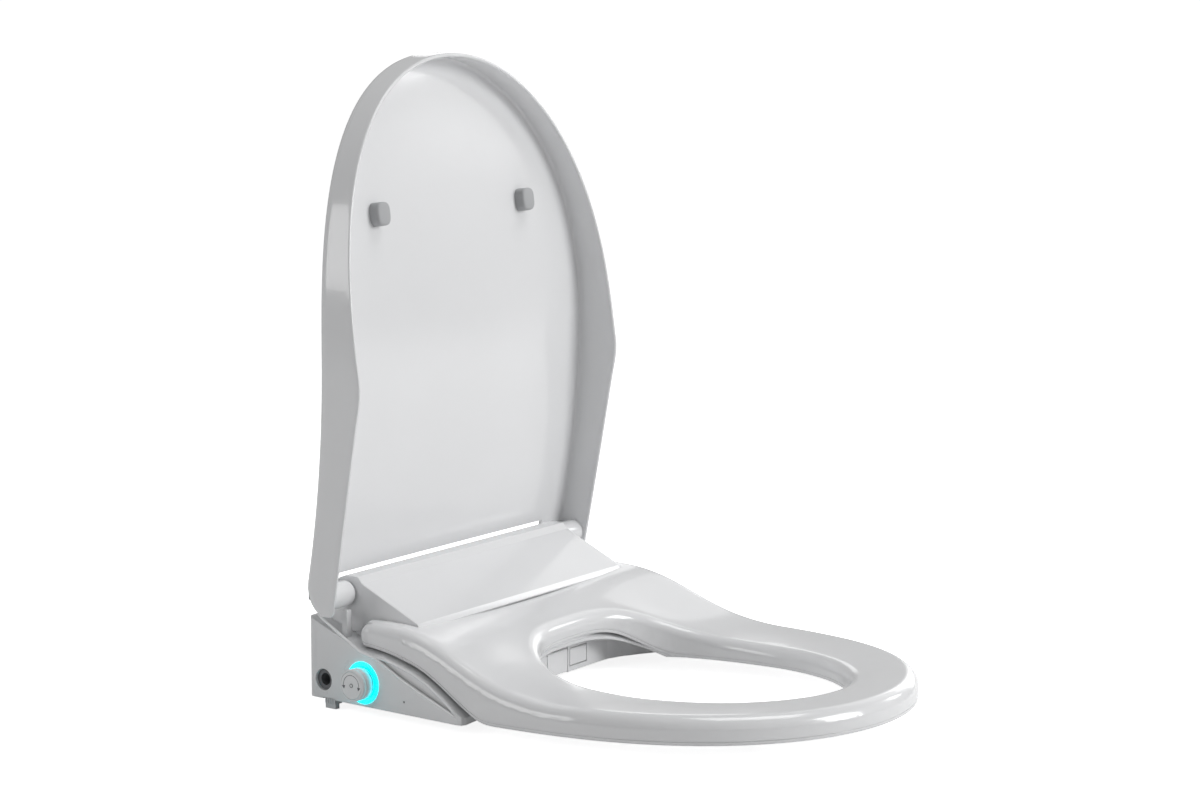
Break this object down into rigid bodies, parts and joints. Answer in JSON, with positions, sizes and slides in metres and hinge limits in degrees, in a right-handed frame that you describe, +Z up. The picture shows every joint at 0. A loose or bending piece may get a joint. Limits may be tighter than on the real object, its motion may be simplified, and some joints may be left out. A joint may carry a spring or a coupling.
{
  "type": "electric bidet seat",
  "caption": "Electric bidet seat: hinged lid and seat ring on a base with a side control knob, wash nozzle behind a front gate, and dryer outlet.",
  "frame": {"origin": "midway between the two mounting bolts, at the plane where the base meets the bowl", "axes": "+Z up, -Y towards the front of the seat, +X to the right of a person standing in front and facing it"},
  "size_m": [0.3787, 0.444, 0.5196],
  "materials": {
    "white_gloss": "gloss",
    "grey_plastic": "satin",
    "dark_plastic": "satin",
    "tank_plastic": "satin",
    "soft_rubber": "matte",
    "seal_rubber": "matte",
    "steel": "satin",
    "brass": "satin",
    "board": "satin",
    "foil": "satin",
    "light_cyan": "gloss"
  },
  "bodies": {
    "base": {"base_shell": "white_gloss", "base_pan": "grey_plastic", "top_cover": "white_gloss", "mounting_plate": "grey_plastic", "base_feet": "soft_rubber", "cover_screws": "steel", "pan_screws": "steel", "water_inlet": "dark_plastic", "inlet_filter": "steel", "inlet_seal": "seal_rubber", "inlet_valve": "grey_plastic", "water_hoses": "tank_plastic", "heater_tank": "tank_plastic", "control_board": "board", "power_supply": "grey_plastic", "cord_gland": "dark_plastic", "nozzle_cradle": "grey_plastic", "nozzle_motor": "dark_plastic", "gate_pin": "steel", "dryer_door_pin": "steel", "dryer_duct": "grey_plastic", "fan_housing": "dark_plastic", "fan_motor": "steel", "knob_bush": "grey_plastic", "encoder": "dark_plastic", "light_ring": "light_cyan", "light_board": "board", "indicator_lens": "light_cyan", "lid_dampers": "dark_plastic", "seat_dampers": "dark_plastic"},
    "release": {"release_button": "grey_plastic"},
    "stem": {"knob_stem": "steel"},
    "knob": {"knob_grip": "white_gloss", "knob_cap": "white_gloss"},
    "sleeve": {"nozzle_sleeve": "grey_plastic"},
    "nozzle": {"nozzle_tube": "white_gloss", "nozzle_tip": "steel"},
    "pinion": {"nozzle_pinion": "brass"},
    "gate": {"nozzle_gate": "white_gloss"},
    "door": {"dryer_door": "white_gloss"},
    "fan": {"fan_rotor": "grey_plastic"},
    "lid": {"lid_shell": "white_gloss", "lid_hinge_shafts": "steel", "lid_bumpers": "soft_rubber"},
    "seat": {"seat_shell": "white_gloss", "seat_hinge_shafts": "steel", "seat_plate": "white_gloss", "seat_plate_screws": "steel", "seat_bumpers": "soft_rubber", "seat_heater": "foil", "seat_sensor": "board"}
  },
  "joints": [
    {"name": "lid_hinge", "type": "hinge", "parent": "base", "child": "lid", "pos_m": [0, 0.014, 0.0845], "axis": [-1, 0, 0], "range_deg": [-99.7, 0]},
    {"name": "seat_hinge", "type": "hinge", "parent": "base", "child": "seat", "pos_m": [0, -0.017, 0.057], "axis": [-1, 0, 0], "range_deg": [0, 99]},
    {"name": "knob_press", "type": "slide", "parent": "base", "child": "stem", "axis": [0.9925, -0.1226, 0], "range_m": [0, 0.0012], "stiffness_N_per_m": 900},
    {"name": "knob_turn", "type": "hinge", "parent": "stem", "child": "knob", "pos_m": [-0.17504, -0.01904, 0.019], "axis": [-0.9925, 0.1226, 0], "continuous": true},
    {"name": "nozzle_stage", "type": "slide", "parent": "base", "child": "sleeve", "axis": [0, -0.9397, -0.342], "range_m": [0, 0.047]},
    {"name": "nozzle_extend", "type": "slide", "parent": "sleeve", "child": "nozzle", "axis": [0, -0.9397, -0.342], "range_m": [0, 0.047]},
    {"name": "pinion_spin", "type": "hinge", "parent": "base", "child": "pinion", "pos_m": [-0.01506, -0.03826, 0.02747], "axis": [0, 0.342, -0.9397], "range_deg": [-1, 442]},
    {"name": "gate_swing", "type": "hinge", "parent": "base", "child": "gate", "pos_m": [0, -0.0877, 0.0191], "axis": [-1, 0, 0], "range_deg": [-1, 88]},
    {"name": "dryer_door_swing", "type": "hinge", "parent": "base", "child": "door", "pos_m": [0.0315, -0.0877, 0.0177], "axis": [-1, 0, 0], "range_deg": [0, 70]},
    {"name": "fan_spin", "type": "hinge", "parent": "base", "child": "fan", "pos_m": [0.05, -0.008, 0.02], "axis": [0, 0, 1], "continuous": true},
    {"name": "release_press", "type": "slide", "parent": "base", "child": "release", "axis": [0.9925, -0.1226, 0], "range_m": [0, 0.003], "stiffness_N_per_m": 500}
  ],
  "couplings": [
    {"joint": "nozzle_extend", "follows": "nozzle_stage", "ratio": 1},
    {"joint": "pinion_spin", "follows": "nozzle_stage", "rad_per_m": 163.62},
    {"joint": "gate_swing", "follows": "nozzle_stage", "rad_per_m": 32}
  ]
}
